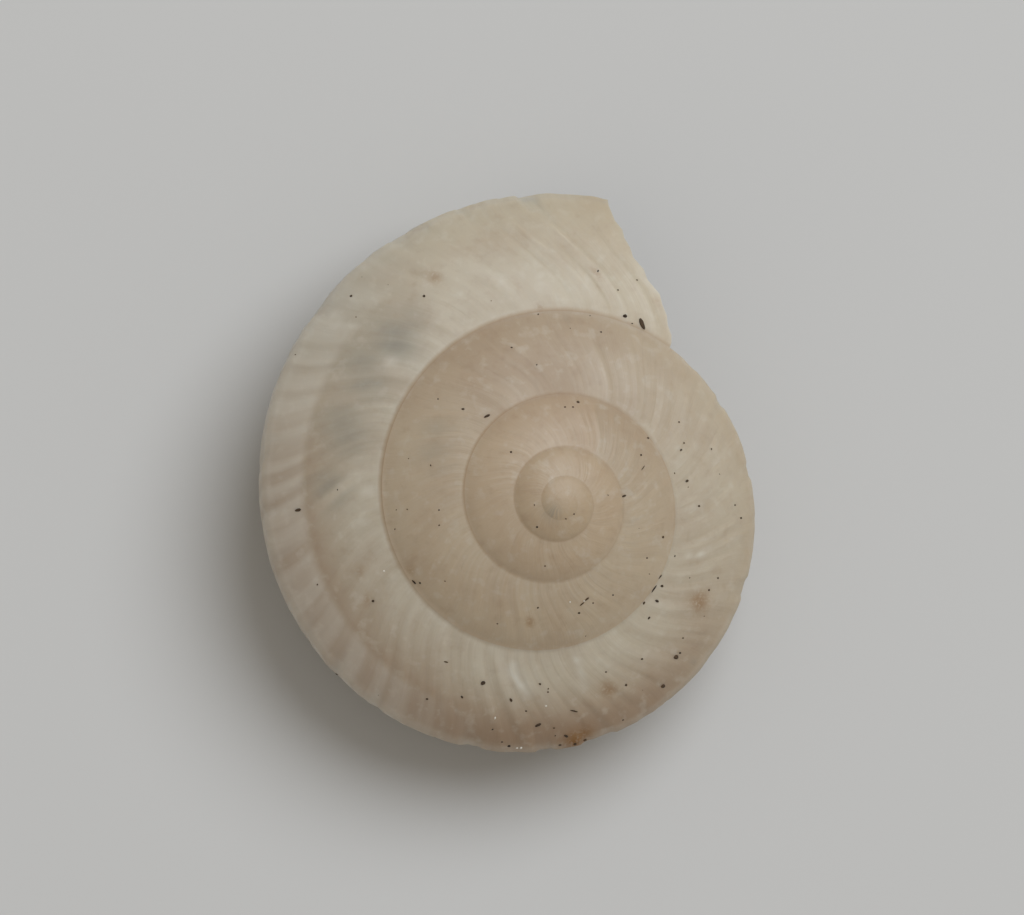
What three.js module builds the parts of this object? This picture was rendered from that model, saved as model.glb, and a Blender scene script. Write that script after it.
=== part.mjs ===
// Empty shell of a low-spired land snail, in millimetres with +Z up, lying on its base as it settles.
// The whole shell is one thin wall: a spiral of four and three quarter turns, open at the mouth and
// hollow behind it, with an open navel below and growth ridges that run parallel to the lip.
import * as THREE from "three";
import { mergeGeometries, mergeVertices } from "three/addons/utils/BufferGeometryUtils.js";

// The spiral that the keel follows
const TURNS = 4.75; // from the first ring of the nucleus to the lip
const LIP_RADIUS = 5.74; // keel radius where the spiral ends, mm
const GROWTH = 0.429; // natural log of the widening in a turn, at the lip
const SLOWING = 0.0454; // how much faster the inner turns widened
const SPIRE_SLOPE = 0.511; // drop of the keel for each mm of its radius
const NUCLEUS_ROUNDING = 0.35; // radius over which the tip of the spire is rounded, mm
const NUCLEUS_RISE = 0.05; // height of the tip above its first ring, mm

// The whorl's outline in a plane through the axis, as shares of the keel radius there
const WALL = 0.036; // thickness
const TOP_SQUARENESS = 2.3; // 2 is an ellipse from suture to keel, more is shouldered
const TOP_FULLNESS = 0.35; // 0 is straight from suture to keel, 1 swells out to that curve
const BASE_SQUARENESS = 2.1; // the same from keel to navel
const BASE_DEPTH = 0.45; // lowest point of the whorl below its keel
const BASE_RADIUS = 0.6; // distance of that lowest point from the axis
const NAVEL_RADIUS = 0.17; // edge of the navel, where the next whorl joins
const NAVEL_DEPTH = 0.16; // depth of that edge below the keel
const RIDGE_HEIGHT = 0.008; // growth ridges on top
const BASE_RIDGE_HEIGHT = 0.005; // and below

// Growth lines lean back from the suture, in turns
const LEAN_AT_KEEL = 1 / 24;
const LEAN_AT_BASE = 1 / 8;
const LEAN_SWEEP = 0.85; // less starts the lean nearer the suture

// Towards the lip they lean further, and the base grows shallower
const LIP_LEAN_AT_KEEL = 0.03;
const LIP_RUN_AT_KEEL = 0.14; // turns over which this comes on
const LIP_LEAN_AT_BASE = 0.05;
const LIP_RUN_AT_BASE = 0.55;
const LIP_SHALLOWING = 0.18; // share of the base's depth

// The pose in which it rests, in degrees
const LIP_BEARING = -309.7; // where the lip meets the suture, about the axis
const REST_TILT = 8.46; // lean of the axis
const REST_TILT_BEARING = -34.5; // the way that it leans

// Fineness of the faceted surface
const STEPS = 96; // columns in a turn
const TOP_ROWS = [0, 0.13, 0.33, 0.58, 0.8, 1]; // 0 is the suture, 1 the keel
const BASE_ROWS = [0, 0.07, 0.32, 0.66, 1, 1.35, 1.75, 2]; // 0 is the keel, 1 the lowest point, 2 the navel
const NAVEL_ROWS = [0, 1]; // 0 is the navel's edge, 1 the seam with the whorl above
const HOLLOW_TURNS = 2; // how far the hollow reaches behind the lip
const HOLLOW_STRIDE = 3; // its columns are this much further apart
const NAVEL_TURNS = 2.5; // how far up the navel reaches
const SLOPE_STEP = 1e-3; // share of a stretch over which a slope is taken
const WELD = 1e-4; // points closer than this are one, mm

const LAST = Math.round(TURNS * STEPS); // column of the lip
const OVERLAP = STEPS - Math.round(LEAN_AT_KEEL * STEPS); // columns from a keel point to the suture on it

const mix = (a, b, share) => a + (b - a) * share;

function ease(share) {
  const k = THREE.MathUtils.clamp(share, 0, 1);
  return k * k * (3 - 2 * k);
}

// Radius and height of the keel after a number of turns
function keel(turn) {
  const back = turn - TURNS;
  const radius = LIP_RADIUS * Math.exp(GROWTH * back - SLOWING * back * back);
  const height = -SPIRE_SLOPE * (Math.hypot(radius, NUCLEUS_ROUNDING) - NUCLEUS_ROUNDING);
  return { radius, height };
}

// Quarter of a superellipse, as shares along the side it leaves on and the side it arrives on
function quarter(share, squareness) {
  const angle = (share * Math.PI) / 2;
  return [Math.sin(angle) ** (2 / squareness), 1 - Math.cos(angle) ** (2 / squareness)];
}

// Shares of the way out and down, from the suture to the keel
function topShares(row) {
  return quarter(row, TOP_SQUARENESS).map((share) => mix(row, share, TOP_FULLNESS));
}

// Radius and height of the outer face on the outline's three stretches
const STRETCHES = {
  top(turn, row) {
    const inner = keel(turn - 1);
    const outer = keel(turn);
    const [out, down] = topShares(row);
    return [mix(inner.radius, outer.radius, out), mix(inner.height, outer.height, down)];
  },
  base(turn, row) {
    const { radius, height } = keel(turn);
    const shallower = 1 - LIP_SHALLOWING * ease(1 - (TURNS - turn) / LIP_RUN_AT_BASE);
    const lowest = height - BASE_DEPTH * shallower * radius;
    if (row <= 1) {
      const [down, inward] = quarter(row, BASE_SQUARENESS);
      return [radius * mix(1, BASE_RADIUS, inward), mix(height, lowest, down)];
    }
    const [inward, up] = quarter(row - 1, BASE_SQUARENESS);
    return [radius * mix(BASE_RADIUS, NAVEL_RADIUS, inward), mix(lowest, height - NAVEL_DEPTH * radius, up)];
  },
  navel(turn, row) {
    const edge = keel(turn);
    const seam = keel(turn - 1);
    const radius = mix(edge.radius, seam.radius, row);
    return [radius * NAVEL_RADIUS, mix(edge.height, seam.height, row) - NAVEL_DEPTH * radius];
  },
};
const ROW_END = { top: 1, base: 2, navel: 1 };

// How far the growth line of a turn has leaned back where it crosses a row
function lean(stretch, row, turn) {
  const toLip = TURNS - turn;
  const atKeel = LEAN_AT_KEEL + LIP_LEAN_AT_KEEL * ease(1 - toLip / LIP_RUN_AT_KEEL);
  if (stretch === "top") {
    return atKeel * ease(topShares(row)[0] ** LEAN_SWEEP);
  }
  if (stretch === "navel") {
    return LEAN_AT_BASE - LEAN_AT_KEEL * row;
  }
  const atBase = LEAN_AT_BASE + LIP_LEAN_AT_BASE * ease(1 - toLip / LIP_RUN_AT_BASE);
  return row < 1 ? mix(atKeel, atBase, ease(row)) : mix(atBase, LEAN_AT_BASE, ease(row - 1));
}

// Growth ridges stand on every other column and die out at the suture, the keel and the navel
function ridge(stretch, row, column) {
  if (column % 2 || stretch === "navel") return 0;
  const height = stretch === "top" ? RIDGE_HEIGHT : BASE_RIDGE_HEIGHT;
  return height * Math.sin((Math.PI * row) / ROW_END[stretch]);
}

// A point on the growth line of a column, moved out from the outer face by a share of the keel radius
function point(column, stretch, row, proud) {
  const turn = column / STEPS;
  const at = turn - lean(stretch, row, turn);
  const outline = STRETCHES[stretch];
  const [radius, height] = outline(at, row);
  const [radiusBefore, heightBefore] = outline(at, Math.max(row - SLOPE_STEP, 0));
  const [radiusAfter, heightAfter] = outline(at, Math.min(row + SLOPE_STEP, ROW_END[stretch]));
  const along = new THREE.Vector2(radiusAfter - radiusBefore, heightAfter - heightBefore).normalize();
  const offset = proud * keel(at).radius;
  const reach = radius - offset * along.y;
  const bearing = THREE.MathUtils.degToRad(LIP_BEARING - 360 * (at - TURNS));
  return new THREE.Vector3(reach * Math.cos(bearing), reach * Math.sin(bearing), height + offset * along.x);
}

const outside = (column, stretch, row) => point(column, stretch, row, ridge(stretch, row, column));
const inside = (column, stretch, row) => point(column, stretch, row, -WALL);

// Growth lines of the outer face, one stretch at a time and all together
const topLine = (column) => TOP_ROWS.map((row) => outside(column, "top", row));
const baseLine = (column) => BASE_ROWS.map((row) => outside(column, "base", row));
const navelLine = (column) => NAVEL_ROWS.map((row) => outside(column, "navel", row));
function outerLine(column) {
  return [...topLine(column), ...baseLine(column).slice(1), ...navelLine(column).slice(1)];
}

// In the hollow, the inner side is the base of the whorl before, and the rest is set in by the wall
const innerSideLine = (column) => baseLine(column - OVERLAP).slice(1, -1);
function hollowLine(column) {
  const innerSide = innerSideLine(column);
  return [
    innerSide[0],
    ...TOP_ROWS.slice(1).map((row) => inside(column, "top", row)),
    ...BASE_ROWS.slice(1).map((row) => inside(column, "base", row)),
    innerSide.at(-1),
  ];
}

// Sheet between neighbouring lines of equal length
function sheet(lines, facesOut = true) {
  const corners = [];
  for (let j = 0; j + 1 < lines.length; j++) {
    const [here, next] = facesOut ? [lines[j], lines[j + 1]] : [lines[j + 1], lines[j]];
    for (let i = 0; i + 1 < here.length; i++) {
      corners.push(here[i], next[i], here[i + 1], next[i], next[i + 1], here[i + 1]);
    }
  }
  return new THREE.BufferGeometry().setFromPoints(corners);
}

// Fan that closes a ring of points from its middle, which may be raised along the axis
function cap(ring, rise = 0) {
  const middle = ring.reduce((sum, corner) => sum.add(corner), new THREE.Vector3()).divideScalar(ring.length);
  middle.z += rise;
  const corners = ring.flatMap((corner, i) => [middle, corner, ring[(i + 1) % ring.length]]);
  return new THREE.BufferGeometry().setFromPoints(corners);
}

function columns(from, to, stride = 1) {
  const count = Math.floor((to - from) / stride) + 1;
  return Array.from({ length: count }, (_, i) => from + i * stride);
}

function makeShell() {
  const hollowStart = LAST - Math.round(HOLLOW_TURNS * STEPS);
  const navelStart = LAST - Math.round(NAVEL_TURNS * STEPS);
  const hollowColumns = columns(hollowStart, LAST, HOLLOW_STRIDE);

  // The tip, the top of the navel and the inner end of the hollow are each closed by a fan
  const firstSuture = columns(0, OVERLAP).map((column) => topLine(column)[0]);
  const tipRing = [...firstSuture.reverse(), ...topLine(0).slice(1, -1)];
  const firstSeam = columns(navelStart, navelStart + OVERLAP).map((column) => navelLine(column).at(-1));
  const navelRing = [...firstSeam, ...navelLine(navelStart).slice(1, -1)];
  const endLine = hollowLine(hollowStart);
  const hollowRing = [...innerSideLine(hollowStart).slice(1), ...endLine.slice(0, -1).reverse()];

  const surfaces = [
    sheet(columns(0, LAST).map(topLine)),
    sheet(columns(LAST - OVERLAP, LAST).map(baseLine)),
    sheet(columns(navelStart, LAST).map(navelLine)),
    sheet(hollowColumns.map(hollowLine), false),
    sheet(hollowColumns.map(innerSideLine)),
    sheet([hollowLine(LAST), outerLine(LAST)], false),
    cap(tipRing, NUCLEUS_RISE),
    cap(navelRing),
    cap(hollowRing),
  ];
  return mergeVertices(mergeGeometries(surfaces), WELD);
}

// Lay it down on its base, with the origin under the middle
const geometry = makeShell();
const leanAxis = new THREE.Vector3(0, 1, 0);
leanAxis.applyAxisAngle(new THREE.Vector3(0, 0, 1), THREE.MathUtils.degToRad(REST_TILT_BEARING));
geometry.applyMatrix4(new THREE.Matrix4().makeRotationAxis(leanAxis, THREE.MathUtils.degToRad(REST_TILT)));
geometry.computeBoundingBox();
const { min, max } = geometry.boundingBox;
geometry.translate(-(min.x + max.x) / 2, -(min.y + max.y) / 2, -min.z);
geometry.computeVertexNormals();

const agedShell = new THREE.MeshStandardMaterial({ color: 0xcabd9f, roughness: 0.45, metalness: 0 });
const shell = new THREE.Mesh(geometry, agedShell);
shell.name = "shell";

const part = new THREE.Group();
part.add(shell);

export default part;
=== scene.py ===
import math

import bmesh
import bpy
import numpy as np
from mathutils import Matrix, Vector


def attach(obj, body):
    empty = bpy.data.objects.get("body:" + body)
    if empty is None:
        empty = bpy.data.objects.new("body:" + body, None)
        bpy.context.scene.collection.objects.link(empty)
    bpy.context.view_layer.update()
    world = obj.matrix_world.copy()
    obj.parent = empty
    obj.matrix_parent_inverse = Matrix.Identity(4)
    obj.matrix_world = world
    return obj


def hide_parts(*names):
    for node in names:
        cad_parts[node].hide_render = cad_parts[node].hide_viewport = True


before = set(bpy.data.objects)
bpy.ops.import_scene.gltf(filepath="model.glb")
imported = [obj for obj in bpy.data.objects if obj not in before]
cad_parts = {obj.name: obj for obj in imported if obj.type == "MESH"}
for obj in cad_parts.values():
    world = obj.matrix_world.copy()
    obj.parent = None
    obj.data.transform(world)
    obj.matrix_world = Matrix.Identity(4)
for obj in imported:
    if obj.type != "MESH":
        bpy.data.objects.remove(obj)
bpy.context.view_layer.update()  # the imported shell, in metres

scene = bpy.context.scene
mm = 0.001
calc = "ShaderNodeMath"


# sRGB hex to the linear colour that the shaders work in
def linearColour(hexColour):
    channels = [int(hexColour[i:i + 2], 16) / 255 for i in (1, 3, 5)]
    return [c / 12.92 if c <= 0.04045 else ((c + 0.055) / 1.055) ** 2.4 for c in channels] + [1.0]


# Adds one node. An input is a value, another node's socket, or a node, which stands for its first output
def addNode(tree, kind, inputs=(), **settings):
    node = tree.nodes.new(kind)
    for name, value in settings.items():
        setattr(node, name, value)
    for key, value in inputs.items() if isinstance(inputs, dict) else enumerate(inputs):
        source = value.outputs[0] if isinstance(value, bpy.types.Node) else value
        if isinstance(source, bpy.types.NodeSocket):
            tree.links.new(source, node.inputs[key])
        else:
            node.inputs[key].default_value = source
    return node


# A geometry tree with named sockets: a number gives its default and its kind, a word names the kind
def newTree(name, inputs, outputs):
    tree = bpy.data.node_groups.new(name, "GeometryNodeTree")
    kinds = {float: "Float", int: "Int"}
    for direction, sockets in (("INPUT", inputs), ("OUTPUT", outputs)):
        for label, value in sockets.items():
            kind = "NodeSocket" + kinds.get(type(value), value)
            socket = tree.interface.new_socket(label, in_out=direction, socket_type=kind)
            if type(value) in kinds:
                socket.default_value = value
    return tree, addNode(tree, "NodeGroupInput").outputs


# The spiral and the whorl's outline, mm or shares of the keel radius, leans in turns
whorl = {
    "Turns": 4.75,
    "Lip Radius": 5.74,
    "Growth": 0.429,
    "Slowing": 0.0454,
    "Spire Slope": 0.511,
    "Tip Rounding": 0.35,
    "Top Squareness": 2.3,
    "Top Fullness": 0.35,
    "Base Squareness": 2.1,
    "Base Depth": 0.45,
    "Base Radius": 0.6,
    "Navel Radius": 0.17,
    "Navel Depth": 0.16,
    "Wall": 0.036,
    "Lean At Keel": 1 / 24,
    "Lean At Base": 1 / 8,
    "Lean Sweep": 0.85,
    "Lip Lean At Keel": 0.03,
    "Lip Run At Keel": 0.14,
    "Lip Lean At Base": 0.05,
    "Lip Run At Base": 0.55,
    "Lip Shallowing": 0.18,
    "Lip Bearing": math.radians(-309.7),
    "Lip Chips": 0.007,  # turns by which the broken edge is jagged
    "Lip Bulge": 0.006,  # and by which it stands forward inside its outer corner
    "Lip Corner": -0.005,  # and by which that corner is broken back, from the bulge on
    "Lip Thinness": 0.4,  # share of the wall left at the lip
}

# Raised work on the outer face, mm at the lip's size
relief = {
    "Ribs Per Turn": 105.0,
    "Rib Height": 0.011,
    "Folds Per Turn": 44.0,
    "Fold Height": 0.022,
    "Rib Slant": 0.7,
    "Shoulder Row": 0.58,
    "Shoulder Height": 0.03,
    "Knobs Per Turn": 78.0,
    "Keel Rounding": 0.01,
    "Keel Chips Per Turn": 34.0,
    "Keel Chip Depth": 0.05,
    "Seed": 3.0,
}

# How fine the surface is
fineness = {"Steps": 720, "Top Rows": 16, "Base Rows": 18, "Row Power": 1.3}

# How the shell lies in the frame
pose = {
    "tilt": math.radians(8.46),
    "bearing": math.radians(-34.5),
    "origin": Vector((0.783, -0.763, 4.198)) * mm,  # where the spiral's axis starts
    "hollowTurns": 2.0,
    "hollowStride": 5,
    "navelTurns": 2.5,
    "tipTurns": 0.5,  # half a turn more at the tip
    "tipRise": 0.012 * mm,
}
restAxis = Vector((-math.sin(pose["bearing"]), math.cos(pose["bearing"]), 0))
restTurn = Matrix.Rotation(pose["tilt"], 4, restAxis)


# Keel radius and height after a number of turns
def makeKeelTree():
    tree, given = newTree("keel", {"Turn": 0.0, **whorl}, {"Radius": 0.0, "Height": 0.0})
    back = addNode(tree, calc, (given["Turn"], given["Turns"]), operation="SUBTRACT")
    slowed = addNode(tree, calc, (back, given["Slowing"]), operation="MULTIPLY")
    rate = addNode(tree, calc, (given["Growth"], slowed), operation="SUBTRACT")
    power = addNode(tree, calc, (back, rate), operation="MULTIPLY")
    widening = addNode(tree, calc, (power,), operation="EXPONENT")
    radius = addNode(tree, calc, (widening, given["Lip Radius"]), operation="MULTIPLY")
    slant = addNode(tree, "ShaderNodeCombineXYZ", (radius, given["Tip Rounding"]))
    slantLength = addNode(tree, "ShaderNodeVectorMath", (slant,), operation="LENGTH").outputs["Value"]
    drop = addNode(tree, calc, (given["Tip Rounding"], slantLength), operation="SUBTRACT")
    height = addNode(tree, calc, (drop, given["Spire Slope"]), operation="MULTIPLY")
    addNode(tree, "NodeGroupOutput", {"Radius": radius, "Height": height})
    return tree


# Quarter of a superellipse: shares along the side it leaves on and the side it arrives on
def makeQuarterTree():
    tree, given = newTree("quarter", {"Share": 0.0, "Squareness": 2.0}, {"Leaving": 0.0, "Arriving": 0.0})
    angle = addNode(tree, calc, (given["Share"], math.pi / 2), operation="MULTIPLY")
    power = addNode(tree, calc, (2.0, given["Squareness"]), operation="DIVIDE")
    sine = addNode(tree, calc, (angle,), operation="SINE")
    cosine = addNode(tree, calc, (angle,), operation="COSINE")
    leaving = addNode(tree, calc, (sine, power), operation="POWER")
    left = addNode(tree, calc, (cosine, power), operation="POWER")
    arriving = addNode(tree, calc, (1.0, left), operation="SUBTRACT")
    addNode(tree, "NodeGroupOutput", {"Leaving": leaving, "Arriving": arriving})
    return tree


# Where a growth line crosses a row: 0 suture, 1 keel, 2 lowest point, 3 navel edge, 4 navel seam
def makePointTree(keelTree, quarterTree):
    outputs = {"Radius": 0.0, "Height": 0.0, "At": 0.0, "Keel Radius": 0.0}
    tree, given = newTree("growthPoint", {"Turn": 0.0, "Row": 0.0, **whorl}, outputs)
    sizes = {name: given[name] for name in whorl}
    shares = []
    for start in range(4):
        share = addNode(tree, calc, (given["Row"], float(start)), operation="SUBTRACT", use_clamp=True)
        shares.append(share)
    squares = [given["Top Squareness"], given["Base Squareness"], given["Base Squareness"]]
    top, outer, inner = [
        addNode(tree, "GeometryNodeGroup", (share, square), node_tree=quarterTree).outputs
        for share, square in zip(shares, squares)
    ]
    out, fall = [
        addNode(tree, "ShaderNodeMix", (given["Top Fullness"], (0, 0, 0), shares[0], top[name]))
        for name in ("Leaving", "Arriving")
    ]

    # How far the line has leaned back here
    extras = {}
    for place, run in (("Lip Lean At Keel", "Lip Run At Keel"), ("Lip Lean At Base", "Lip Run At Base")):
        start = addNode(tree, calc, (given["Turns"], given[run]), operation="SUBTRACT")
        extras[place] = addNode(
            tree, "ShaderNodeMapRange", (given["Turn"], start, given["Turns"], 0.0, given[place]),
            interpolation_type="SMOOTHSTEP",
        )
    atKeel = addNode(tree, calc, (given["Lean At Keel"], extras["Lip Lean At Keel"]), operation="ADD")
    atBase = addNode(tree, calc, (given["Lean At Base"], extras["Lip Lean At Base"]), operation="ADD")
    sweep = addNode(tree, calc, (out, given["Lean Sweep"]), operation="POWER")
    eases = [addNode(tree, "ShaderNodeMapRange", (s,), interpolation_type="SMOOTHSTEP")
             for s in (sweep, shares[1], shares[2])]
    down = addNode(tree, calc, (atBase, atKeel), operation="SUBTRACT")
    backIn = addNode(tree, calc, (given["Lean At Base"], atBase), operation="SUBTRACT")
    lean = addNode(tree, calc, (atKeel, eases[0]), operation="MULTIPLY")
    for amount, ease in ((down, eases[1]), (backIn, eases[2])):
        lean = addNode(tree, calc, (amount, ease, lean), operation="MULTIPLY_ADD")
    seamLean = addNode(tree, calc, (given["Lean At Keel"], shares[3]), operation="MULTIPLY")
    lean = addNode(tree, calc, (lean, seamLean), operation="SUBTRACT")

    # The broken edge of the lip: jagged in the last few hundredths of a turn, whole at both ends
    smooth = {"interpolation_type": "SMOOTHSTEP"}
    row = given["Row"]
    chipRun = addNode(tree, calc, (given["Turns"], 0.03), operation="SUBTRACT")
    nearLip = addNode(tree, "ShaderNodeMapRange", (given["Turn"], chipRun, given["Turns"]), **smooth)
    jag = addNode(tree, "ShaderNodeTexNoise", {"W": row, "Scale": 13.0, "Detail": 3.0}, noise_dimensions="1D")
    jagged = addNode(tree, "ShaderNodeMapRange", (jag, 0.35, 0.7, 0.0, given["Lip Chips"]))
    fromSuture = addNode(tree, "ShaderNodeMapRange", (row, 0.0, 0.2), **smooth)
    fromNavel = addNode(tree, "ShaderNodeMapRange", (row, 3.0, 2.6), **smooth)
    chip = addNode(tree, calc, (jagged, fromSuture), operation="MULTIPLY")
    bulge = addNode(tree, "ShaderNodeMapRange", (row, 0.4, 0.75, 0.0, given["Lip Bulge"]), **smooth)
    broken = addNode(tree, calc, (given["Lip Bulge"], given["Lip Corner"]), operation="ADD")
    corner = addNode(tree, "ShaderNodeMapRange", (row, 0.8, 1.05, 0.0, broken), **smooth)
    chip = addNode(tree, calc, (chip, bulge), operation="SUBTRACT")
    chip = addNode(tree, calc, (chip, corner), operation="ADD")
    chip = addNode(tree, calc, (chip, nearLip), operation="MULTIPLY")
    lean = addNode(tree, calc, (chip, fromNavel, lean), operation="MULTIPLY_ADD")
    at = addNode(tree, calc, (given["Turn"], lean), operation="SUBTRACT")

    # Keel here and one turn before, then the outline between them
    before = addNode(tree, calc, (at, 1.0), operation="SUBTRACT")
    here = addNode(tree, "GeometryNodeGroup", {"Turn": at, **sizes}, node_tree=keelTree).outputs
    above = addNode(tree, "GeometryNodeGroup", {"Turn": before, **sizes}, node_tree=keelTree).outputs
    runStart = addNode(tree, calc, (given["Turns"], given["Lip Run At Base"]), operation="SUBTRACT")
    shallowing = addNode(
        tree, "ShaderNodeMapRange", (at, runStart, given["Turns"], 0.0, given["Lip Shallowing"]),
        interpolation_type="SMOOTHSTEP",
    )
    deep = addNode(tree, calc, (1.0, shallowing), operation="SUBTRACT")
    depth = addNode(tree, calc, (given["Base Depth"], deep), operation="MULTIPLY")
    rise = addNode(tree, calc, (depth, given["Navel Depth"]), operation="SUBTRACT")
    outerRun = addNode(tree, calc, (1.0, given["Base Radius"]), operation="SUBTRACT")
    innerRun = addNode(tree, calc, (given["Base Radius"], given["Navel Radius"]), operation="SUBTRACT")
    widened = addNode(tree, calc, (here["Radius"], above["Radius"]), operation="SUBTRACT")
    fallen = addNode(tree, calc, (above["Height"], here["Height"]), operation="SUBTRACT")

    inward = addNode(tree, calc, (outerRun, outer["Arriving"]), operation="MULTIPLY")
    inward = addNode(tree, calc, (innerRun, inner["Leaving"], inward), operation="MULTIPLY_ADD")
    inward = addNode(tree, calc, (inward, here["Radius"]), operation="MULTIPLY")
    navelIn = addNode(tree, calc, (given["Navel Radius"], widened), operation="MULTIPLY")
    inward = addNode(tree, calc, (navelIn, shares[3], inward), operation="MULTIPLY_ADD")
    radius = addNode(tree, "ShaderNodeMix", (out, (0, 0, 0), above["Radius"], here["Radius"]))
    radius = addNode(tree, calc, (radius, inward), operation="SUBTRACT")

    upward = addNode(tree, calc, (depth, outer["Leaving"]), operation="MULTIPLY")
    upward = addNode(tree, calc, (0.0, upward), operation="SUBTRACT")
    upward = addNode(tree, calc, (rise, inner["Arriving"], upward), operation="MULTIPLY_ADD")
    upward = addNode(tree, calc, (upward, here["Radius"]), operation="MULTIPLY")
    seamRise = addNode(tree, calc, (given["Navel Depth"], widened, fallen), operation="MULTIPLY_ADD")
    upward = addNode(tree, calc, (seamRise, shares[3], upward), operation="MULTIPLY_ADD")
    height = addNode(tree, "ShaderNodeMix", (fall, (0, 0, 0), above["Height"], here["Height"]))
    height = addNode(tree, calc, (height, upward), operation="ADD")
    addNode(tree, "NodeGroupOutput",
            {"Radius": radius, "Height": height, "At": at, "Keel Radius": here["Radius"]})
    return tree


# Raised work at a turn and row, in mm: growth ribs, folds, a knobbed shoulder line and a chipped keel
def makeReliefTree():
    tree, given = newTree("relief", {"Turn": 0.0, "Row": 0.0, **whorl, **relief}, {"Relief": 0.0})
    smooth = {"interpolation_type": "SMOOTHSTEP"}
    turn, row = given["Turn"], given["Row"]
    waves = {}
    for name in ("Ribs", "Folds", "Knobs", "Keel Chips"):
        ring = addNode(tree, calc, (turn, given[name + " Per Turn"], given["Seed"]), operation="MULTIPLY_ADD")
        ring = addNode(tree, calc, (row, given["Rib Slant"], ring), operation="MULTIPLY_ADD")
        wave = {"W": ring, "Scale": 1.0, "Detail": 1.0}
        waves[name] = addNode(tree, "ShaderNodeTexNoise", wave, noise_dimensions="1D")

    # The keel is free only where no later whorl sits on it
    freeFrom = addNode(tree, calc, (given["Turns"], given["Lean At Keel"]), operation="ADD")
    freeFrom = addNode(tree, calc, (freeFrom, 1.0), operation="SUBTRACT")
    freeTo = addNode(tree, calc, (freeFrom, 0.04), operation="ADD")
    free = addNode(tree, "ShaderNodeMapRange", (turn, freeFrom, freeTo), **smooth)
    fromKeel = addNode(tree, calc, (row, 1.0), operation="SUBTRACT")
    fromKeel = addNode(tree, calc, (fromKeel,), operation="ABSOLUTE")
    offKeel = addNode(tree, "ShaderNodeMapRange", (fromKeel, 0.0, 0.3), **smooth)
    onKeel = addNode(tree, calc, (1.0, offKeel), operation="SUBTRACT")
    keelFade = addNode(tree, "ShaderNodeMix", (free, (0, 0, 0), offKeel, 1.0))

    # Ribs and folds fade in from the smooth tip and from the suture, and out under the base
    fromTip = addNode(tree, "ShaderNodeMapRange", (turn, 0.6, 2.0), **smooth)
    fromSuture = addNode(tree, "ShaderNodeMapRange", (row, 0.0, 0.1), **smooth)
    toNavel = addNode(tree, "ShaderNodeMapRange", (row, 1.1, 2.9, 1.0, 0.0), **smooth)
    shown = fromTip
    for fade in (fromSuture, toNavel, keelFade):
        shown = addNode(tree, calc, (shown, fade), operation="MULTIPLY")
    heights = 0.0
    for name, size in (("Ribs", "Rib Height"), ("Folds", "Fold Height")):
        wave = addNode(tree, "ShaderNodeMapRange", (waves[name], 0.25, 0.75, -0.7, 0.3))
        heights = addNode(tree, calc, (wave, given[size], heights), operation="MULTIPLY_ADD")
    raised = addNode(tree, calc, (heights, shown), operation="MULTIPLY")

    # The shoulder comes up in the last turn and a quarter
    shoulderFrom = addNode(tree, calc, (given["Turns"], 1.2), operation="SUBTRACT")
    shoulderTo = addNode(tree, calc, (given["Turns"], 0.8), operation="SUBTRACT")
    grown = addNode(tree, "ShaderNodeMapRange", (turn, shoulderFrom, shoulderTo), **smooth)
    fromShoulder = addNode(tree, calc, (row, given["Shoulder Row"]), operation="SUBTRACT")
    fromShoulder = addNode(tree, calc, (fromShoulder,), operation="ABSOLUTE")
    onShoulder = addNode(tree, "ShaderNodeMapRange", (fromShoulder, 0.0, 0.16, 1.0, 0.0), **smooth)
    shoulder = addNode(tree, calc, (onShoulder, grown), operation="MULTIPLY")
    knobs = addNode(tree, "ShaderNodeMapRange", (waves["Knobs"], 0.35, 0.7, 0.2, 1.0))
    knobbed = addNode(tree, calc, (knobs, given["Shoulder Height"]), operation="MULTIPLY")
    raised = addNode(tree, calc, (knobbed, shoulder, raised), operation="MULTIPLY_ADD")

    # The free keel is rounded off and chipped
    chipping = (waves["Keel Chips"], 0.56, 0.66, 0.0, given["Keel Chip Depth"])
    chips = addNode(tree, "ShaderNodeMapRange", chipping)
    worn = addNode(tree, calc, (chips, given["Keel Rounding"]), operation="ADD")
    worn = addNode(tree, calc, (worn, onKeel), operation="MULTIPLY")
    worn = addNode(tree, calc, (worn, free), operation="MULTIPLY")
    raised = addNode(tree, calc, (raised, worn), operation="SUBTRACT")
    addNode(tree, "NodeGroupOutput", {"Relief": raised})
    return tree


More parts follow.
